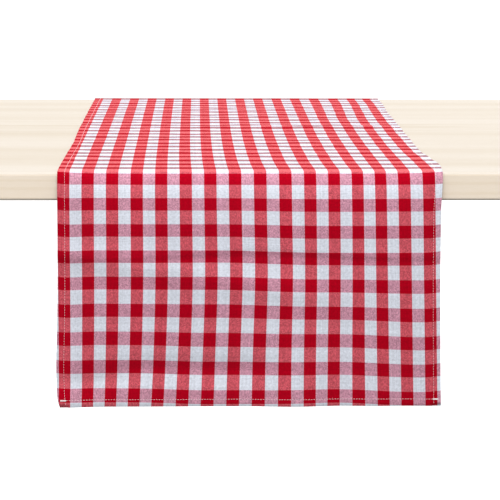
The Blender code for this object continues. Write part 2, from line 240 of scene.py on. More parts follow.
def soaped_wood(name, along, pale, dark, heart, painted_light_edges=None):
    """along is the grain's axis; heart is the log's centre line, in metres.

    The last argument is half the board's length and depth; its edges get a painted
    highlight.
    """
    finish, tree, surface = new_finish(name, Roughness=0.62)
    surface.inputs["IOR"].default_value = 1.5
    surface.inputs["Specular IOR Level"].default_value = 0.22
    place = add_node(tree, "TexCoord").outputs["Object"]
    stretch = [1.0, 1.0, 1.0]
    stretch["XYZ".index(along)] = DRAWN_OUT
    offset = add_node(
        tree, "Mapping", {"Vector": place, "Location": [-c for c in heart]}
    ).outputs["Vector"]
    drawn = add_node(
        tree, "Mapping", {"Vector": offset, "Scale": stretch}
    ).outputs["Vector"]
    waver = add_node(
        tree, "TexNoise", {"Vector": drawn, "Scale": WAVERS_A_METRE, "Detail": 3.0}
    ).outputs["Color"]
    bent = add_node(
        tree, "VectorMath", {0: waver, 1: (WAVER, WAVER, WAVER), 2: drawn},
        operation="MULTIPLY_ADD",
    ).outputs["Vector"]
    flat = add_node(
        tree, "Mapping",
        {"Vector": bent, "Scale": [0.0 if a == along else 1.0 for a in "XYZ"]},
    ).outputs["Vector"]
    radius = add_node(
        tree, "VectorMath", {0: flat}, operation="LENGTH"
    ).outputs["Value"]
    ring = add_node(
        tree, "Math", {0: radius, 1: 2 * math.pi / RING_WIDTH}, operation="MULTIPLY"
    ).outputs["Value"]
    wave = add_node(tree, "Math", {0: ring}, operation="SINE").outputs["Value"]
    late = add_node(
        tree, "MapRange",
        {"Value": wave, "From Min": 0.1, "From Max": 1.0},
        interpolation_type="SMOOTHSTEP",
    ).outputs["Result"]
    fibre = add_node(
        tree, "TexNoise",
        {"Vector": drawn, "Scale": 1 / FIBRE_WIDTH, "Detail": 2.0, "Roughness": 0.7},
    ).outputs["Fac"]
    patch = add_node(
        tree, "TexNoise", {"Vector": drawn, "Scale": PATCHES_A_METRE, "Detail": 4.0}
    ).outputs["Fac"]
    ring_part = add_node(
        tree, "Math", {0: late, 1: RING_SHOWS}, operation="MULTIPLY"
    ).outputs["Value"]
    fibre_part = add_node(
        tree, "MapRange",
        {"Value": fibre, "From Min": 0.35, "From Max": 0.75, "To Max": FIBRE_SHOWS},
    ).outputs["Result"]
    patch_part = add_node(
        tree, "MapRange",
        {"Value": patch, "From Min": 0.35, "From Max": 0.7, "To Max": PATCH_SHOWS},
    ).outputs["Result"]
    two = add_node(tree, "Math", {0: ring_part, 1: fibre_part}, operation="ADD")
    grain = add_node(
        tree, "Math", {0: two.outputs["Value"], 1: patch_part}, operation="ADD",
        use_clamp=True,
    ).outputs["Value"]
    colour = add_node(
        tree, "Mix", {"Factor": grain, MIX_A: linear(pale), MIX_B: linear(dark)},
        data_type="RGBA",
    ).outputs[MIX_OUT]
    # Painted highlight: the board's upright sawn faces get a paler copy of the grain,
    # standing in for the light that falls on them more weakly than on the top.
    if painted_light_edges:
        reach = add_node(
            tree, "VectorMath", {0: place, 1: (*painted_light_edges, 1.0)}, operation="DIVIDE"
        ).outputs["Vector"]
        reach = add_node(tree, "VectorMath", {0: reach}, operation="ABSOLUTE")
        sides = add_node(tree, "SeparateXYZ", {"Vector": reach.outputs["Vector"]})
        further = add_node(
            tree, "Math", {0: sides.outputs["X"], 1: sides.outputs["Y"]},
            operation="MAXIMUM",
        ).outputs["Value"]
        at_edge = add_node(
            tree, "MapRange", {"Value": further, "From Min": 0.9988, "From Max": 0.9998}
        ).outputs["Result"]
        paler = add_node(
            tree, "Mix",
            {"Factor": grain, MIX_A: linear(PAINTED_LIGHT_EDGE_PALE), MIX_B: linear(PAINTED_LIGHT_EDGE_DARK)},
            data_type="RGBA",
        ).outputs[MIX_OUT]
        colour = add_node(
            tree, "Mix", {"Factor": at_edge, MIX_A: colour, MIX_B: paler},
            data_type="RGBA",
        ).outputs[MIX_OUT]
    tree.links.new(colour, surface.inputs["Base Color"])
    bump = add_node(
        tree, "Bump", {"Height": grain, "Strength": 0.25, "Distance": GRAIN_RELIEF}
    )
    tree.links.new(bump.outputs["Normal"], surface.inputs["Normal"])
    return finish


# The board's sawn faces carry a painted highlight, set by the last argument.
board_wood = soaped_wood(
    "soaped_softwood_board", "X", "#D3CCC3", "#BEB19D", (0.0, 0.06, 0.60),
    painted_light_edges=(cad_high.x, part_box("table_top")[1].y),
)
FRAME_PALE, FRAME_DARK = "#DDD0B8", "#C9B795"
leg_wood = soaped_wood(
    "soaped_softwood_leg", "Z", FRAME_PALE, FRAME_DARK, (0.50, 0.21, 0.0)
)
end_rail_wood = soaped_wood(
    "soaped_softwood_end_rail", "Y", FRAME_PALE, FRAME_DARK, (0.51, 0.0, 0.60)
)
long_rail_wood = soaped_wood(
    "soaped_softwood_long_rail", "X", FRAME_PALE, FRAME_DARK, (0.0, 0.04, 0.62)
)
print("rings every", RING_WIDTH / MM, "mm, fibres", FIBRE_WIDTH / MM, "mm")

# %% [markdown]
# ## Zinc-plated steel and nylon
#
# The brackets are pressed from sheet and plated with zinc, which gives a cold grey
# with a faint spangle and soft rolling lines. The glides under the feet are moulded
# nylon: milky, slightly waxy, and scuffed where they slide.

# %% Zinc-plated steel
SPANGLES_A_METRE = 400.0
ROLLED_LINES_A_METRE = (2500.0, 60.0, 60.0)
zinc, tree, surface = new_finish("zinc_plated_steel", Metallic=1.0)
place = add_node(tree, "TexCoord").outputs["Object"]
spangle = add_node(
    tree, "TexVoronoi", {"Vector": place, "Scale": SPANGLES_A_METRE}
).outputs["Color"]
grey = add_node(
    tree, "Mix",
    {"Factor": spangle, MIX_A: linear("#A9ABB0"), MIX_B: linear("#C6C8CB")},
    data_type="RGBA",
).outputs[MIX_OUT]
tree.links.new(grey, surface.inputs["Base Color"])
rolled = add_node(
    tree, "Mapping", {"Vector": place, "Scale": ROLLED_LINES_A_METRE}
).outputs["Vector"]
lines = add_node(tree, "TexNoise", {"Vector": rolled, "Scale": 1.0}).outputs["Fac"]
rough = add_node(
    tree, "MapRange", {"Value": lines, "To Min": 0.28, "To Max": 0.48}
).outputs["Result"]
tree.links.new(rough, surface.inputs["Roughness"])
print(zinc.name, "spangles every", 1000 / SPANGLES_A_METRE, "mm")

# %% Moulded nylon
SCUFFS_A_METRE = 500.0
nylon, tree, surface = new_finish("moulded_nylon", IOR=1.53)
place = add_node(tree, "TexCoord").outputs["Object"]
scuff = add_node(
    tree, "TexNoise", {"Vector": place, "Scale": SCUFFS_A_METRE, "Detail": 4.0}
).outputs["Fac"]
milky = add_node(
    tree, "Mix",
    {"Factor": scuff, MIX_A: linear("#D9D5CA"), MIX_B: linear("#C8C2B4")},
    data_type="RGBA",
).outputs[MIX_OUT]
tree.links.new(milky, surface.inputs["Base Color"])
rough = add_node(
    tree, "MapRange", {"Value": scuff, "To Min": 0.35, "To Max": 0.6}
).outputs["Result"]
tree.links.new(rough, surface.inputs["Roughness"])
print(nylon.name, "scuffs every", 1000 / SCUFFS_A_METRE, "mm")

# %% [markdown]
# ## Finish the table's own pieces
#
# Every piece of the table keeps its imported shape. Only the material in each slot
# changes, chosen by what the piece is: the grain follows a leg up, an end rail from
# front to back, and the board and the long rail from side to side.

# %% Give each table piece its finish
FINISH_OF = {
    "table_top": board_wood,
    "leg_": leg_wood,
    "end_rail_": end_rail_wood,
    "long_rail": long_rail_wood,
    "bracket_": zinc,
    "top_screw_": zinc,
    "rail_screw_": zinc,
    "glide_": nylon,
}
for name, piece in nodes.items():
    for start, finish in FINISH_OF.items():
        if name.startswith(start):
            for held in piece.material_slots:
                held.material = finish
print(len(nodes), "packed pieces")

# %% [markdown]
# ## How the cloth hangs
#
# A woven cloth bends but hardly stretches, so its shape is best said thread by
# thread: each long thread climbs the front drop, crosses the table and goes down the
# back, and keeps its length whatever it does. Two small rules say where it goes. One
# is how far the drop stands out from the table's edge, because stiff cotton leaves
# the corner at a slant before it hangs. The other is how high the cloth lies above
# the wood: it rolls up behind each edge, and old packing folds still show as ridges.
# Walking along the line with a tape measure then places every point of the weave.

# %% Sizes of the cloth
top_low, top_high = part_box("table_top")
cloth_low, cloth_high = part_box("runner_cloth")
CLOTH_WIDTH = cloth_high.x - cloth_low.x
HALF_WIDTH = CLOTH_WIDTH / 2
LIES_ABOVE_WOOD = 1.5 * MM
CORNER_OUT = 1.5 * MM
CLOTH_THICKNESS = 0.30 * MM
FOLD_GAP = 0.35 * MM
HEM_WIDTH = 8.5 * MM
TUCKED_IN = 8.0 * MM
DROP = 251 * MM
FINISHED_LENGTH = 1204 * MM
front_y = top_low.y - CORNER_OUT
back_y = top_high.y + CORNER_OUT
bed_z = top_high.z + LIES_ABOVE_WOOD

# %% [markdown]
# ## How far it stands out from the edges
#
# Folds could come from a cloth simulation, but a pressed runner has very few, and a
# simulation would not put them where they are wanted. Here every fold is one smooth
# bump or step, added to the rule with its own place, height and width, so it can be
# read and changed by itself. The places across are metres from the middle, and the
# depths are metres below the bed on which the cloth lies.

# %% The drops
SIDES_CLOSER, SIDE_REACH = 0.45, 24 * MM
SPRING_OUT, SPRING_OVER = 6.0 * MM, 5.5 * MM
SETTLE_OUT, SETTLE_OVER = 12.0 * MM, 32 * MM
FOLD_WIDTH = 13 * MM
SLANT_AT, SLANT_SLOPE, SLANT_OUT = 84 * MM, 0.16, 1.5 * MM
CREASE_AT, CREASE_RISES = 89 * MM, 8 * MM
CREASE_IN, CREASE_DEEPER = 0.9 * MM, 0.5 * MM
VALLEY_AT, VALLEY_FALLS, VALLEY_IN = 208 * MM, 14 * MM, 2.2 * MM
HEM_WAVES = ((0.045, 3.0 * MM, 0.035), (0.095, -2.2 * MM, 0.025))
RIGHT_CORNER_IN, LEFT_CORNER_OUT = 1.6 * MM, 3.0 * MM
BACK_OUT, BACK_WAVE, BACK_FOLD_AT, BACK_FOLD_OUT = 12 * MM, 3.5 * MM, 92 * MM, 1.4 * MM


def ease(value, start, end):
    """0 before start, 1 after end, and smooth between."""
    share = np.clip((value - start) / (end - start), 0, 1)
    return share * share * (3 - 2 * share)


def ridge(value, centre, width):
    """1 at the centre, falling smoothly to nothing on both sides."""
    return np.exp(-(((value - centre) / width) ** 2))


def stands_out_front(down, across):
    """Metres in front of the table's edge, at a depth below it."""
    near_side = ridge(np.abs(across), HALF_WIDTH, SIDE_REACH)
    springs = SPRING_OUT * (1 - np.exp(-down / SPRING_OVER))
    settles = SETTLE_OUT * (1 - np.exp(-down / SETTLE_OVER))
    out = (springs + settles) * (1 - SIDES_CLOSER * near_side)
    # A packing fold slants down across the drop and fades out at the right.
    fold = ridge(down, SLANT_AT + SLANT_SLOPE * (across + HALF_WIDTH), FOLD_WIDTH)
    out = out + SLANT_OUT * fold * ease(-across, -0.13, -0.02)
    # A level one is creased sharply: the cloth steps back below it, then recovers.
    middle = ridge(across, 0.01, 0.09)
    crease = CREASE_AT - CREASE_RISES * middle
    steps_back = ease(down, crease - 1 * MM, crease + 4 * MM)
    recovers = ease(down, crease + 6 * MM, crease + 50 * MM)
    out = out - (CREASE_IN + CREASE_DEEPER * middle) * steps_back * (1 - recovers)
    # Another, lower down on the left, is a valley.
    valley = ridge(down, VALLEY_AT + VALLEY_FALLS * ease(-across, 0.10, 0.19), FOLD_WIDTH)
    out = out - VALLEY_IN * valley * ease(-across, -0.06, 0.02)
    # Upright waves grow towards the hem. One corner curls back and one stands out.
    grows = (down / DROP) ** 2
    for centre, height, width in HEM_WAVES:
        out = out + height * grows * ridge(across, centre, width)
    out = out - RIGHT_CORNER_IN * ease(across, 0.11, 0.19) * ease(down, 0.165, 0.235)
    corner = ridge(across, -HALF_WIDTH, 28 * MM)
    return out + LEFT_CORNER_OUT * corner * ease(down, 0.19, 0.25)


def stands_out_back(down, across):
    """Metres behind the table's back edge, at a depth below it."""
    reach = BACK_OUT * (1 - 0.4 * ridge(np.abs(across), HALF_WIDTH, 26 * MM))
    out = reach * (1 - np.exp(-down / reach))
    out = out + BACK_WAVE * (down / DROP) ** 1.5 * np.sin(across * 31 + 0.6)
    fold = ridge(down, BACK_FOLD_AT - 0.12 * across, FOLD_WIDTH)
    return out + BACK_FOLD_OUT * fold


hem_out = stands_out_front(DROP, 0.0)
print("the front hem stands out", round(float(hem_out) / MM, 1), "mm in the middle")

# %% [markdown]
# ## How high it lies on the wood
#
# Cotton that turns over an edge is too stiff to lie flat at once: it rolls up a
# little behind the edge and then sinks. Two old packing folds cross the table as low
# ridges, sharper in front than behind, and the rest is never quite flat, which is what
# tells the eye that it is cloth and not paper.

# %% The part on the table
ROLL_HEIGHT, BACK_SINKS = 0.9 * MM, 1.1 * MM
# Each fold's distance behind the front edge, its heights at the left and at the right,
# its width and its slant.
TOP_FOLDS = (
    (0.363, 0.855 * MM, 1.9 * MM, 8 * MM, 0.05),
    (0.520, 0.5 * MM, 0.5 * MM, 12 * MM, -0.04),
)
RESTS_ABOVE, RIPPLE, SMALL_RIPPLE = 0.6 * MM, 0.3 * MM, 0.3 * MM


def rolls_up(inward, height):
    """The cloth's low roll behind an edge: up over half a check, then slowly down."""
    climb = inward / (12 * MM)
    falls = 0.45 * ridge(inward, 0, 36 * MM) + 0.55 * ridge(inward, 0, 0.23)
    return height * climb / (1 + climb**6) ** (1 / 6) * falls


def lies_above(inward, across):
    """Metres above the bed, at a distance behind the front edge."""
    lift = rolls_up(inward, ROLL_HEIGHT) - BACK_SINKS * ease(inward, 0.46, 0.66)
    for centre, left, right, width, slant in TOP_FOLDS:
        height = left + (right - left) * ease(across, 0.02, 0.11)
        height = height * (0.72 + 0.28 * np.sin(across * 17 + 1.1))
        line = centre + slant * across + 5 * MM * np.sin(across * 24 + centre * 40)
        side = np.where(inward < line, width, 2.2 * width)
        lift = lift + height * ridge(inward, line, side)
    wide = np.sin(inward * 61 + across * 9) * np.sin(across * 38 - inward * 7)
    small = np.sin(inward * 118 - across * 21 + 2) * np.sin(across * 83 + inward * 12)
    near_back = ease(back_y - front_y - inward, 0.01, 0.05)
    calm = ease(inward, 0.03, 0.12) * near_back
    return lift + (RESTS_ABOVE + RIPPLE * wide + SMALL_RIPPLE * small) * calm


crest = lies_above(TOP_FOLDS[0][0], 0.15)
print("the right-hand fold lies", round(float(crest) / MM, 1), "mm up on the bed")

# %% [markdown]
# ## Walk along the threads with a tape measure
#
# Cloth that hangs may slip sideways a little, but it does not grow. Each long thread's
# line is walked in small steps from the front edge, and a point that is a hundred
# millimetres along the thread is put where the tape reads a hundred. The direction
# that faces away from the table comes from the neighbouring threads. The folded hems
# and the stitches need it.

# %% The line of each thread


def warp_lines(across):
    """Points along the threads at these places across, and the tape reading at each."""
    across = np.asarray(across, float)[:, None]
    down = np.linspace(0, DROP + 30 * MM, 300)[None, :]
    depth = back_y - front_y
    inward = np.linspace(0, depth, 640)[None, 1:-1]
    y = np.concatenate(
        [
            (front_y - stands_out_front(down, across))[:, ::-1],
            np.broadcast_to(front_y + inward, (len(across), inward.shape[1])),
            back_y + stands_out_back(down, across),
        ],
        axis=1,
    )
    z = np.concatenate(
        [
            np.broadcast_to(bed_z - down, (len(across), down.shape[1]))[:, ::-1],
            bed_z + lies_above(inward, across),
            np.broadcast_to(bed_z - down, (len(across), down.shape[1])),
        ],
        axis=1,
    )
    step = np.hypot(np.diff(y, axis=1), np.diff(z, axis=1))
    start = np.zeros((len(across), 1))
    tape = np.concatenate([start, np.cumsum(step, axis=1)], axis=1)
    tape = tape - tape[:, down.shape[1] - 1][:, None]
    return y, z, tape


thread_y, thread_z, tape = warp_lines([-HALF_WIDTH, 0, HALF_WIDTH])
print("length of three threads", np.round(tape[:, -1] - tape[:, 0], 4), "m")

# %% Where each point of a thread goes
LEFT_BELLY, LEFT_BELLY_ABOVE = 3.4 * MM, 0.7 * MM
RIGHT_DRAWN_IN, RIGHT_OUT_AT_TOP, RIGHT_OUT = 4.7 * MM, 2.0 * MM, 0.7 * MM
LEFT_CORNER_PULLED = 2.4 * MM
RIGHT_DRAWN_ON_TABLE, RIGHT_BULGE = 6.6 * MM, 2.6 * MM
LEFT_TUCKED, LEFT_TUCKED_BEHIND = 0.9 * MM, 1.3 * MM


def sways(across, along):
    """How far a point of the cloth moves sideways from its own thread's line."""
    down, inward = np.clip(-along, 0, None), np.clip(along, 0, None)
    hangs = along < 0
    left = ridge(across, -HALF_WIDTH, 25 * MM)
    right = ridge(across, HALF_WIDTH, 60 * MM)
    belly = LEFT_BELLY * ridge(down, 0.215, 0.055)
    belly = belly + LEFT_BELLY_ABOVE * ridge(down, 0.13, 0.05)
    shift = -left * belly * hangs
    drawn_in = RIGHT_DRAWN_IN * (down / DROP) ** 2
    drawn_in = drawn_in - RIGHT_OUT_AT_TOP * ease(down, 0, 0.05)
    shift = shift + right * (drawn_in * hangs - RIGHT_OUT)
    pulled = np.exp(-np.clip(DROP - down, 0, None) / (5 * MM)) * hangs
    shift = shift + LEFT_CORNER_PULLED * ridge(across, -HALF_WIDTH, 9 * MM) * pulled
    # On the table the right-hand side was drawn in towards the middle.
    eased = 1 - 0.5 * ease(inward, 0.52, 0.64)
    shift = shift - RIGHT_DRAWN_ON_TABLE * right * ease(inward, 0.055, 0.17) * eased
    shift = shift + RIGHT_BULGE * right * ridge(inward, 0.045, 0.03)
    tucked = LEFT_TUCKED * ease(inward, 0.05, 0.12)
    tucked = tucked + LEFT_TUCKED_BEHIND * ridge(inward, 0.22, 0.06)
    return shift + left * tucked


def drape(across, along):
    """The hung place, in metres, of each thread at each of its tape readings."""
    across = np.asarray(across, float)
    along = np.broadcast_to(along, (len(across), np.shape(along)[-1]))
    y_line, z_line, tape = warp_lines(across)
    y = np.stack([np.interp(a, t, line) for a, t, line in zip(along, tape, y_line)])
    z = np.stack([np.interp(a, t, line) for a, t, line in zip(along, tape, z_line)])
    x = across[:, None] + sways(across[:, None], along)
    return np.stack([x, y, z], axis=2)


def drape_with_outward(across, along):
    """The same places, and the direction that faces away from the table at each."""
    nudge = 0.4 * MM
    sideways = drape(across + nudge, along) - drape(across - nudge, along)
    onward = drape(across, along + nudge) - drape(across, along - nudge)
    outward = np.cross(sideways, onward)
    outward = outward / np.linalg.norm(outward, axis=2, keepdims=True)
    return drape(across, along), outward


hem_middle = drape(np.array([0.0]), np.array([-DROP]))[0, 0]
print("middle of the front hem at", hem_middle.round(4), "m")

# %% [markdown]
# ## Turn the hems and lay the sheet
#
# A hem here is a double fold: the edge is turned under by one hem width, and its raw
# end is tucked inside, so three layers lie over each other, and nine at a corner. The
# whole cloth is still one flat grid. Its rows and columns are dealt out as "plain",
# "first turn", "under", "second turn" and "tucked", and each then knows how deep in
# the stack it lies. The grid is closer where the cloth bends and wider where it is
# calm, which keeps it light.

# %% Deal out the grid's rows and columns
TURN_STEPS = 4


def fold_steps():
    """The grid lines of one hem beyond the plain cloth: kind, and how far through it."""
    turn = [("turn", math.pi * k / TURN_STEPS) for k in range(1, TURN_STEPS + 1)]
    under = [("under", HEM_WIDTH * k / 4) for k in range(1, 5)]
    second = [("second", math.pi * k / TURN_STEPS) for k in range(1, TURN_STEPS + 1)]
    tucked = [("tucked", TUCKED_IN * k / 3) for k in range(1, 4)]
    return turn + under + second + tucked


def spaced_by(closeness, start, end):
    """Places from start to end whose gaps follow closeness, a wanted gap in metres."""
    fine = np.linspace(start, end, 4000)
    count = np.cumsum(1 / closeness(fine))
    total = count[-1] - count[0]
    wanted = np.linspace(0, total, int(math.ceil(total * (fine[1] - fine[0]))) + 1)
    return np.interp(wanted, count - count[0], fine)


WIDEST_ACROSS, WIDEST_ALONG, CLOSER = 4.4 * MM, 5.2 * MM, 3.2 * MM
TOP_LENGTH = FINISHED_LENGTH - 2 * DROP
# Where the cloth bends along its length, how much closer the rows lie there, and over
# what distance: the front edge, the back edge, the sharp crease and the fold on top.
BENDS = (
    (0.0, 3.4 * MM, 22 * MM),
    (TOP_LENGTH, 3.2 * MM, 20 * MM),
    (-0.098, 3.2 * MM, 13 * MM),
    (0.365, 3.0 * MM, 18 * MM),
)


def gap_across(across):
    """The wanted width of a column, closer where the side hems begin."""
    edge = np.abs(across) - HALF_WIDTH
    return WIDEST_ACROSS - CLOSER * ridge(edge, -HEM_WIDTH, 3 * MM)


def gap_along(along):
    """The wanted length of a row, closer at the bends and where the end hems begin."""
    from_hem = np.minimum(along + DROP, TOP_LENGTH + DROP - along)
    gap = WIDEST_ALONG - CLOSER * ridge(from_hem, HEM_WIDTH, 4 * MM)
    for centre, closer, reach in BENDS:
        gap = gap - closer * ridge(along, centre, reach)
    return gap


plain_across = spaced_by(gap_across, -HALF_WIDTH + FOLD_GAP, HALF_WIDTH - FOLD_GAP)
plain_along = spaced_by(gap_along, -DROP + FOLD_GAP, TOP_LENGTH + DROP - FOLD_GAP)


def between_hems(plain):
    """All the grid lines one way: a hem, these places on the plain cloth, and a hem."""
    return (
        [(-1, *step) for step in reversed(fold_steps())]
        + [(0, "plain", place) for place in plain]
        + [(1, *step) for step in fold_steps()]
    )


columns, rows = between_hems(plain_across), between_hems(plain_along)
print(len(columns), "columns and", len(rows), "rows")

# %% [markdown]
# ## Wrap each hem round itself
#
# A turned hem goes round a half circle, runs back under the cloth, turns again and
# ends inside. Each grid line is placed on that path twice: once in the stack, where it
# lies now, and once laid flat, where it was woven. The flat place carries the check
# round the fold, so that the underside shows the same stripes.

# %% Where each grid line lies in the stack


def through_fold(side, kind, way, edges, stack, depth):
    """Place along the cloth, and depth below its face, of layers at depth in a stack."""
    edge = edges[0] if side < 0 else edges[1]
    outer = (3 * stack + 2 * FOLD_GAP) / 2
    start = edge - side * outer
    if kind == "plain":
        return way, depth
    if kind == "turn":
        radius = outer + depth
        return start + side * radius * math.sin(way), -outer + radius * math.cos(way)
    if kind == "under":
        return start - side * way, -2 * outer - depth
    inner = stack + 0.5 * FOLD_GAP + depth
    middle = -(2 * stack + 1.5 * FOLD_GAP)
    if kind == "second":
        return (
            start - side * (HEM_WIDTH + inner * math.sin(way)),
            middle - inner * math.cos(way),
        )
    return start - side * (HEM_WIDTH - way), -(stack + FOLD_GAP) + depth


def flat_reading(side, kind, way, edges):
    """The same grid line's place on the cloth before it was folded."""
    edge = edges[0] if side < 0 else edges[1]
    if kind == "plain":
        return way
    turn, second = math.pi * FOLD_GAP, math.pi * FOLD_GAP / 2
    beyond = {
        "turn": FOLD_GAP * way,
        "under": turn + way,
        "second": turn + HEM_WIDTH + FOLD_GAP / 2 * way,
        "tucked": turn + HEM_WIDTH + second + way,
    }[kind]
    return edge + side * (beyond - FOLD_GAP)


side_edges = (-HALF_WIDTH, HALF_WIDTH)
end_edges = (-DROP, TOP_LENGTH + DROP)
across_at, depth_at, flat_across = [], [], []
for side, kind, way in columns:
    place, depth = through_fold(side, kind, way, side_edges, 0.0, 0.0)
    across_at.append(place)
    depth_at.append(depth)
    flat_across.append(flat_reading(side, kind, way, side_edges))
across_at, depth_at = np.array(across_at), np.array(depth_at)
flat_across = np.array(flat_across)
hem_starts = HALF_WIDTH - HEM_WIDTH
in_side_hem = ease(np.abs(across_at), hem_starts - 2 * MM, hem_starts)
stack_at = 2 * FOLD_GAP * in_side_hem
print("the side hems are", round(2 * FOLD_GAP / MM, 2), "mm deep below the face")

# %% Hang every corner of the grid
places = np.zeros((len(columns), len(rows), 3))
plain_rows = [i for i, row in enumerate(rows) if row[0] == 0]
here, outward = drape_with_outward(across_at, plain_along)
places[:, plain_rows] = here + outward * depth_at[:, None, None]
hem_rows = [i for i, row in enumerate(rows) if row[0] != 0]
turned = [through_fold(*rows[i], end_edges, stack_at, depth_at) for i in hem_rows]
along = np.stack([place for place, depth in turned], axis=1)
depth = np.stack([depth for place, depth in turned], axis=1)
here, outward = drape_with_outward(across_at, along)
places[:, hem_rows] = here + outward * depth[:, :, None]
flat_along = np.array([flat_reading(*row, end_edges) for row in rows])
print("cloth from", places.min((0, 1)).round(4), "to", places.max((0, 1)).round(4))

# %% [markdown]
# ## The check, as the loom made it
#
# Gingham is woven from dyed yarn: bands of red and white threads run along the cloth,
# and the same bands cross it. Red over red is full red, white over white is white,
# and the two mixed squares are pinks. The pattern must follow the cloth and not the
# room, so each vertex keeps its place on the loom in a UV map, in metres. The loom
# did not keep its rows quite even, and the cloth was laid a little askew, so that
# reading is eased here and there.

# %% Across the loom
WARP_REPEAT = 25.26 * MM
ASKEW_MIDDLE, ASKEW_RIGHT = 2.4 * MM, 1.5 * MM
SPREAD_MIDDLE, SPREAD_RIGHT = 2.2 * MM, 5.0 * MM
LEANS_AT_LEFT, BOWED = 5.1 * MM, 1.7 * MM
DRAWN_OVER, DRAWN_BACK, DRAWN_AT_SIDE = 7.6 * MM, 5.5 * MM, 2.6 * MM


def loom_across(across, along):
    """Across the loom from the left edge, where the cloth was pulled askew."""
    down, inward = np.clip(-along, 0, None) / DROP, np.clip(along, 0, None)
    at_edge = ease(inward, 0, 0.08)
    askew = ASKEW_MIDDLE * ridge(across, 0.06, 0.06)
    askew = askew * (1 - 0.4 * down) * (1 - 0.3 * at_edge)
    askew = askew - ASKEW_RIGHT * ridge(across, 0.155, 0.03) * (1 - at_edge)
    spread = SPREAD_MIDDLE * ease(across, 0, 0.06)
    spread = spread + SPREAD_RIGHT * ease(across, 0.08, 0.15)
    askew = askew + spread * down**1.3
    askew = askew - LEANS_AT_LEFT * ridge(across, -0.10, 0.085) * down**3
    askew = askew + BOWED * ridge(down, 0.45, 0.25) * ridge(across, 0, 0.1)
    drawn = DRAWN_OVER * ease(across, -0.18, 0.04) * (1 - np.exp(-inward / 0.17))
    drawn = drawn - DRAWN_BACK * ridge(across, 0.15, 0.05) * ease(inward, 0.42, 0.66)
    at_side = ease(across, 0.15, 0.19) * ease(inward, 0.05, 0.16)
    drawn = drawn + DRAWN_AT_SIDE * at_side
    return across + HALF_WIDTH + sways(across, along) - askew + drawn


print("repeats across", round(CLOTH_WIDTH / WARP_REPEAT, 2))

# %% Along the loom
WEFT_REPEAT = 28.3 * MM
FIRST_REPEAT, REPEAT_GROWS = 27.4 * MM, 0.01446  # each row down is this much longer
FIRST_ROW_LOWER = 3.2 * MM
RAISED_LEFT, RAISED_FAR_LEFT = 4.2 * MM, 2.2 * MM
RAISED_RIGHT, RAISED_HEM, LOWERED_AT_SIDE = 1.9 * MM, 1.0 * MM, 2.6 * MM


def loom_along(across, along):
    """Along the loom from the front edge, in even repeats."""
    from_side = HALF_WIDTH - np.abs(across)
    edge_line = -FIRST_ROW_LOWER * (1 - np.exp(-from_side / (22 * MM)))
    down = np.clip(edge_line - along, 0, None)
    left = 1 - ease(across, -0.04, 0.08)
    far_left = 1 - ease(across, -0.12, -0.04)
    raised = -RAISED_LEFT * ridge(down, 0.125, 0.085) * left
    raised = raised - RAISED_FAR_LEFT * ease(down, 0.1, 0.2) * far_left
    raised = raised * (1 - 0.5 * ridge(across, -HALF_WIDTH, 25 * MM))
    raised = raised * ease(down, 0, 0.03)
    raised = raised - RAISED_RIGHT * ridge(across, 0.075, 0.055) * ease(down, 0.02, 0.2)
    raised = raised - RAISED_HEM * ease(down, 0.19, 0.23)
    lowered = LOWERED_AT_SIDE * ease(across, 0.11, 0.19) * ease(down, 0.08, 0.18)
    down = down - raised - lowered
    beaten = np.log(1 + REPEAT_GROWS * down / FIRST_REPEAT) / REPEAT_GROWS
    on_table = (edge_line - along) / WEFT_REPEAT
    return np.where(along < edge_line, beaten, on_table) * WEFT_REPEAT


woven_at = np.meshgrid(flat_across, flat_along, indexing="ij")
loom = np.stack([loom_across(*woven_at), loom_along(*woven_at)], axis=2)
print("repeats down the front", round(float(loom_along(0.0, -DROP)) / WEFT_REPEAT, 2))

# %% [markdown]
# ## Yarn-dyed cotton
#
# Each thread is far finer than the render can show, so the weave is drawn about two
# and a half times coarser than the real 0.4 mm. Where a red thread crosses a white
# one, one crossing shows more of one colour than the next does. Each thread is also a
# little thicker or paler than its neighbour, and a faint fuzz of fibre catches the
# light at a low angle: that fuzz is the sheen.

# %% The bands of red and white yarn
WARP_RED_SHARE = 0.503
WEFT_RED_SHARE = 0.475

gingham, tree, surface = new_finish("yarn_dyed_gingham_cotton", Roughness=0.85)
for socket, value in {
    "IOR": 1.53,
    "Specular IOR Level": 0.03,
    "Sheen Weight": 0.06,
    "Sheen Roughness": 0.40,
    "Sheen Tint": linear("#FFE6E6"),
}.items():
    surface.inputs[socket].default_value = value
place = add_node(tree, "UVMap", uv_map="loom").outputs["UV"]
split = add_node(tree, "SeparateXYZ", {"Vector": place})


def banded(reading, repeat, share):
    """1 in the red band of each repeat and 0 in the white."""
    turns = add_node(
        tree, "Math", {0: reading, 1: 1 / repeat}, operation="MULTIPLY"
    ).outputs["Value"]
    phase = add_node(tree, "Math", {0: turns}, operation="FRACT").outputs["Value"]
    return add_node(
        tree, "Math", {0: phase, 1: share}, operation="LESS_THAN"
    ).outputs["Value"]


warp_red = banded(split.outputs["X"], WARP_REPEAT, WARP_RED_SHARE)
weft_red = banded(split.outputs["Y"], WEFT_REPEAT, WEFT_RED_SHARE)
print("a red band is", round(WARP_REPEAT * WARP_RED_SHARE / MM, 1), "mm wide")

# %% [markdown]
# ## The four kinds of square
#
# A mixed square's pink depends on which yarn runs which way, because the long threads
# lie prouder than the ones that cross them. Where the cloth faces up on the table, each
# pink is swapped for a copy with painted light and shade: pinks with a red warp are
# painted brighter there, and pinks with a white warp greyer.

# %% Colour the squares
WHITE_YARN, RED_YARN = "#D0D4DE", "#A40018"
RED_WARP_PINKS_AND_PAINTED_TOP = "#C1525D", "#D36065"  # hanging, and with painted light where it faces up
WHITE_WARP_PINKS_AND_PAINTED_TOP = "#BE899B", "#9F757C"
PAINTED_TOP_FROM, PAINTED_TOP_TO = 0.80, 0.97  # how far up the cloth faces, from 0 to 1
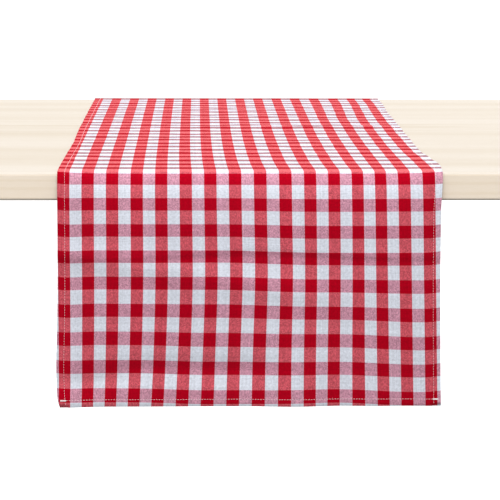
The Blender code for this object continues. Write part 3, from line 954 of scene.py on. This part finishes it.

# Painted light and shade: the cloth's upward faces get the painted copies of the pinks.
faces = add_node(tree, "NewGeometry").outputs["Normal"]
upward = add_node(tree, "SeparateXYZ", {"Vector": faces}).outputs["Z"]
painted_top_light = add_node(
    tree, "MapRange", {"Value": upward, "From Min": PAINTED_TOP_FROM, "From Max": PAINTED_TOP_TO}
).outputs["Result"]
red_warp_pink_painted_top, white_warp_pink_painted_top = [
    add_node(
        tree, "Mix", {"Factor": painted_top_light, MIX_A: linear(hanging), MIX_B: linear(flat)},
        data_type="RGBA",
    ).outputs[MIX_OUT]
    for hanging, flat in (RED_WARP_PINKS_AND_PAINTED_TOP, WHITE_WARP_PINKS_AND_PAINTED_TOP)
]
over_white_weft, over_red_weft = [
    add_node(
        tree, "Mix", {"Factor": warp_red, MIX_A: white_warp, MIX_B: red_warp},
        data_type="RGBA",
    ).outputs[MIX_OUT]
    for white_warp, red_warp in (
        (linear(WHITE_YARN), red_warp_pink_painted_top),
        (white_warp_pink_painted_top, linear(RED_YARN)),
    )
]
squares = add_node(
    tree, "Mix", {"Factor": weft_red, MIX_A: over_white_weft, MIX_B: over_red_weft},
    data_type="RGBA",
).outputs[MIX_OUT]
print("yarns", WHITE_YARN, "and", RED_YARN)

# %% [markdown]
# ## Uneven yarn and the weave's relief
#
# Spun cotton is never even. Every thread gets its own luck, every crossing of a mixed
# square its own fleck, and slubs run through them all. The relief is a low dome for
# each crossing, roughened by the same slubs, and it is bump and not shape, because a
# tenth of a millimetre is too fine to model.

# %% Threads, flecks and slubs
DRAWN_THREADS = 26  # in one repeat of the check
CROSSING_SHOWS = 0.24  # how far one crossing of a mixed square differs from the next
THREAD_SHOWS, SLUB_SHOWS = 0.10, 0.16
SLUBS_A_METRE = 420.0
WEAVE_RELIEF = 0.12 * MM

threads = add_node(
    tree, "Mapping",
    {
        "Vector": place,
        "Scale": (DRAWN_THREADS / WARP_REPEAT, DRAWN_THREADS / WEFT_REPEAT, 1.0),
    },
).outputs["Vector"]
numbered = add_node(tree, "VectorMath", {0: threads}, operation="FLOOR").outputs["Vector"]
thread_number = add_node(tree, "SeparateXYZ", {"Vector": numbered})
warp_luck = add_node(
    tree, "TexWhiteNoise", {"W": thread_number.outputs["X"]}, noise_dimensions="1D"
).outputs["Value"]
weft_luck = add_node(
    tree, "TexWhiteNoise", {"W": thread_number.outputs["Y"]}, noise_dimensions="1D"
).outputs["Value"]
fleck = add_node(
    tree, "TexWhiteNoise", {"Vector": numbered}, noise_dimensions="2D"
).outputs["Value"]
flecked = add_node(
    tree, "MapRange",
    {"Value": fleck, "To Min": -CROSSING_SHOWS, "To Max": CROSSING_SHOWS},
).outputs["Result"]
mixed = add_node(
    tree, "Math", {0: warp_red, 1: weft_red}, operation="SUBTRACT"
).outputs["Value"]
mixed = add_node(tree, "Math", {0: mixed}, operation="ABSOLUTE").outputs["Value"]
speckle = add_node(
    tree, "Math", {0: mixed, 1: flecked, 2: 1.0}, operation="MULTIPLY_ADD"
).outputs["Value"]
slub = add_node(
    tree, "TexNoise",
    {"Vector": place, "Scale": SLUBS_A_METRE, "Detail": 3.0, "Roughness": 0.7},
).outputs["Fac"]
luck = add_node(
    tree, "Math", {0: warp_luck, 1: weft_luck}, operation="ADD"
).outputs["Value"]
evenness = add_node(
    tree, "MapRange",
    {
        "Value": luck, "From Max": 2.0,
        "To Min": 1 - THREAD_SHOWS, "To Max": 1 + THREAD_SHOWS,
    },
).outputs["Result"]
slubbed = add_node(
    tree, "MapRange",
    {
        "Value": slub, "From Min": 0.3, "From Max": 0.7,
        "To Min": 1 - SLUB_SHOWS, "To Max": 1 + SLUB_SHOWS,
    },
).outputs["Result"]
shade = add_node(
    tree, "Math", {0: evenness, 1: slubbed}, operation="MULTIPLY"
).outputs["Value"]
shade = add_node(
    tree, "Math", {0: shade, 1: speckle}, operation="MULTIPLY"
).outputs["Value"]
dyed = add_node(
    tree, "VectorMath", {0: squares, "Scale": shade}, operation="SCALE"
).outputs["Vector"]
tree.links.new(dyed, surface.inputs["Base Color"])
print("threads drawn every", round(WARP_REPEAT / DRAWN_THREADS / MM, 2), "mm")

# %% The weave's relief
crossings = add_node(tree, "SeparateXYZ", {"Vector": threads})
crowns = []
for axis in "XY":
    turned_by = add_node(
        tree, "Math", {0: crossings.outputs[axis], 1: math.pi}, operation="MULTIPLY"
    ).outputs["Value"]
    crowns.append(
        add_node(tree, "Math", {0: turned_by}, operation="SINE").outputs["Value"]
    )
domes = add_node(
    tree, "Math", {0: crowns[0], 1: crowns[1]}, operation="MULTIPLY"
).outputs["Value"]
rounded = add_node(tree, "Math", {0: domes, 1: slub}, operation="ADD").outputs["Value"]
weave_bump = add_node(
    tree, "Bump", {"Height": rounded, "Strength": 0.35, "Distance": WEAVE_RELIEF}
)
tree.links.new(weave_bump.outputs["Normal"], surface.inputs["Normal"])
print("the weave is", WEAVE_RELIEF / MM, "mm deep")

# %% [markdown]
# ## Lay the sheet
#
# One flat grid makes the whole cloth, hems and all, as one piece of cotton makes the
# real one. Its corners are moved to their hung places, the loom's reading goes into
# its UV map, and a Solidify modifier gives it the thickness of the cloth.

# %% The runner
runner_mesh = bpy.data.meshes.new("gingham_runner")
shape = bmesh.new()
bmesh.ops.create_grid(
    shape, x_segments=len(columns) - 1, y_segments=len(rows) - 1, size=0.5
)
spots = [
    (round((v.co.x + 0.5) * (len(columns) - 1)), round((v.co.y + 0.5) * (len(rows) - 1)))
    for v in shape.verts
]
for vertex, (column, row) in zip(shape.verts, spots):
    vertex.co = places[column, row]
for face in shape.faces:
    face.smooth = True
shape.to_mesh(runner_mesh)
shape.free()
loom_map = runner_mesh.uv_layers.new(name="loom")
corner_vertex = np.zeros(len(runner_mesh.loops), int)
runner_mesh.loops.foreach_get("vertex_index", corner_vertex)
spots = np.array(spots)
loom_map.data.foreach_set(
    "uv", loom[spots[:, 0], spots[:, 1]][corner_vertex].astype(np.float32).ravel()
)
runner_mesh.materials.append(gingham)
runner = bpy.data.objects.new("gingham_runner", runner_mesh)
bpy.context.collection.objects.link(runner)
body = runner.modifiers.new("cloth_thickness", "SOLIDIFY")
body.thickness = CLOTH_THICKNESS
body.offset = 0.0
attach(runner, "runner")
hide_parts("runner_cloth", "hem_left", "hem_right", "hem_front", "hem_back")
print("runner:", len(runner_mesh.vertices), "vertices")

# %% [markdown]
# ## Lockstitch
#
# The hems are sewn with white lockstitch, about nine stitches to the inch. On the
# face each stitch is a short raised bar that dives into a needle hole at both ends,
# and the bobbin thread does the same underneath. A thread's line that rides up and
# down once a stitch, given a round bevel, makes both at once. At each corner the
# machine was run back and forth to lock the seam, which leaves a small thick bar.

# %% Thread
TWISTS_A_METRE = 2500.0
thread, tree, surface = new_finish("white_polyester_thread", Roughness=0.55)
place = add_node(tree, "TexCoord").outputs["Object"]
twist = add_node(
    tree, "TexNoise", {"Vector": place, "Scale": TWISTS_A_METRE}
).outputs["Fac"]
white = add_node(
    tree, "Mix",
    {"Factor": twist, MIX_A: linear("#F3EAEB"), MIX_B: linear("#E4D8DA")},
    data_type="RGBA",
).outputs[MIX_OUT]
tree.links.new(white, surface.inputs["Base Color"])
surface.inputs["Sheen Weight"].default_value = 0.2
print(thread.name, "twists every", 1000 / TWISTS_A_METRE, "mm")

# %% The path of a stitch
STITCH = 2.8 * MM
THREAD_RADIUS = 0.16 * MM
SEAM_IN = 7.6 * MM
SEAM_FROM_EDGE = 2.6 * MM
# Levels above the middle of the cloth: on its face, in a needle hole, under the hem,
# and in a hole seen from below.
proud = CLOTH_THICKNESS / 2 + 0.6 * THREAD_RADIUS
face_level, hole_level = proud, -1.6 * THREAD_RADIUS
under_level, under_hole_level = -2 * FOLD_GAP - proud, -2 * FOLD_GAP
# How far through a stitch, and how far up from the hole to the face.
STITCH_WAVE = ((0.0, 0.0), (0.20, 0.55), (0.36, 1.0), (0.64, 1.0), (0.80, 0.55))


def sewn_line(across, along, level):
    """Points at this level above the cloth's middle, for equal lists of places."""
    across, along, level = (np.array(given, float) for given in (across, along, level))
    here, outward = drape_with_outward(across, along[:, None])
    return here[:, 0] + outward[:, 0] * level[:, None]


def stitch_levels(start, end, top, bottom):
    """Places and levels of stitches from start to end."""
    count = max(1, round((end - start) / STITCH))
    stops, levels = [], []
    for k in range(count):
        for share, rise in STITCH_WAVE:
            stops.append(start + (end - start) * (k + share) / count)
            levels.append(bottom + (top - bottom) * rise)
    return stops + [end], levels + [bottom]


print("a seam has", round(CLOTH_WIDTH / STITCH), "stitches across the cloth")

# %% Thread as a round, solid piece


def thread_piece(name, lines, radius=THREAD_RADIUS):
    """Round thread along each line, as one mesh that rides with the runner."""
    curve = bpy.data.curves.new(name, "CURVE")
    curve.dimensions = "3D"
    curve.bevel_depth = radius
    curve.bevel_resolution = 1
    curve.use_fill_caps = True
    for line in lines:
        spline = curve.splines.new("POLY")
        spline.points.add(len(line) - 1)
        for point, spot in zip(spline.points, line):
            point.co = (*spot, 1.0)
    drawn = bpy.data.objects.new(name + "_line", curve)
    bpy.context.collection.objects.link(drawn)
    bpy.context.view_layer.update()
    graph = bpy.context.evaluated_depsgraph_get()
    mesh = bpy.data.meshes.new_from_object(drawn.evaluated_get(graph))
    bpy.data.objects.remove(drawn)
    mesh.name = name
    for face in mesh.polygons:
        face.use_smooth = True
    mesh.materials.clear()
    mesh.materials.append(thread)
    piece = bpy.data.objects.new(name, mesh)
    bpy.context.collection.objects.link(piece)
    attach(piece, "runner")
    return piece


print("thread", 2 * THREAD_RADIUS / MM, "mm thick")

# %% Sew the four seams
top_and_bobbin = (face_level, hole_level), (under_level, under_hole_level)
for name, side in (("left", -1), ("right", 1)):
    lines = []
    for top, bottom in top_and_bobbin:
        along, level = stitch_levels(
            -DROP + SEAM_FROM_EDGE, TOP_LENGTH + DROP - SEAM_FROM_EDGE, top, bottom
        )
        across = np.array([side * (HALF_WIDTH - SEAM_IN)])
        here, outward = drape_with_outward(across, np.array(along))
        lines.append(here[0] + outward[0] * np.array(level)[:, None])
    piece = thread_piece("stitching_" + name, lines)
    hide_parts("seam_" + name)
for name, edge, inward in (("front", -DROP, 1), ("back", TOP_LENGTH + DROP, -1)):
    lines = []
    for top, bottom in top_and_bobbin:
        across, level = stitch_levels(
            -HALF_WIDTH + SEAM_FROM_EDGE, HALF_WIDTH - SEAM_FROM_EDGE, top, bottom
        )
        lines.append(sewn_line(across, [edge + inward * SEAM_IN] * len(across), level))
    piece = thread_piece("stitching_" + name, lines)
    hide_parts("seam_" + name)

# %% [markdown]
# ## Lock the corners
#
# Where two seams cross, the machine was run to and fro over a quarter of an inch. The
# four short rows lie side by side and nearly touch, so they read as one white bar.
# They are the same thread as the seams, laid on the face a little prouder.

# %% Corner tacks
TACK_LENGTH = 6.0 * MM
TACK_RUNS, TACK_RUN_GAP, TACK_POINTS = 4, 0.35 * MM, 7
TACK_THICKER = 1.15
for end, edge, inward in (("front", -DROP, 1), ("back", TOP_LENGTH + DROP, -1)):
    for name, side in (("left", -1), ("right", 1)):
        start = side * (HALF_WIDTH - SEAM_FROM_EDGE)
        stop = start - side * TACK_LENGTH
        across, along, level = [], [], []
        for run in range(TACK_RUNS):
            first, last = (start, stop) if run % 2 == 0 else (stop, start)
            beside = (run - (TACK_RUNS - 1) / 2) * TACK_RUN_GAP
            for k in range(TACK_POINTS):
                dips = 0.35 if k % 3 else -0.2
                across.append(first + (last - first) * k / (TACK_POINTS - 1))
                along.append(edge + inward * (SEAM_IN + beside))
                level.append(face_level + dips * THREAD_RADIUS)
        piece = thread_piece(
            f"corner_tack_{end}_{name}",
            [sewn_line(across, along, level)],
            TACK_THICKER * THREAD_RADIUS,
        )
        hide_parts(f"backtack_{end}_{name}")
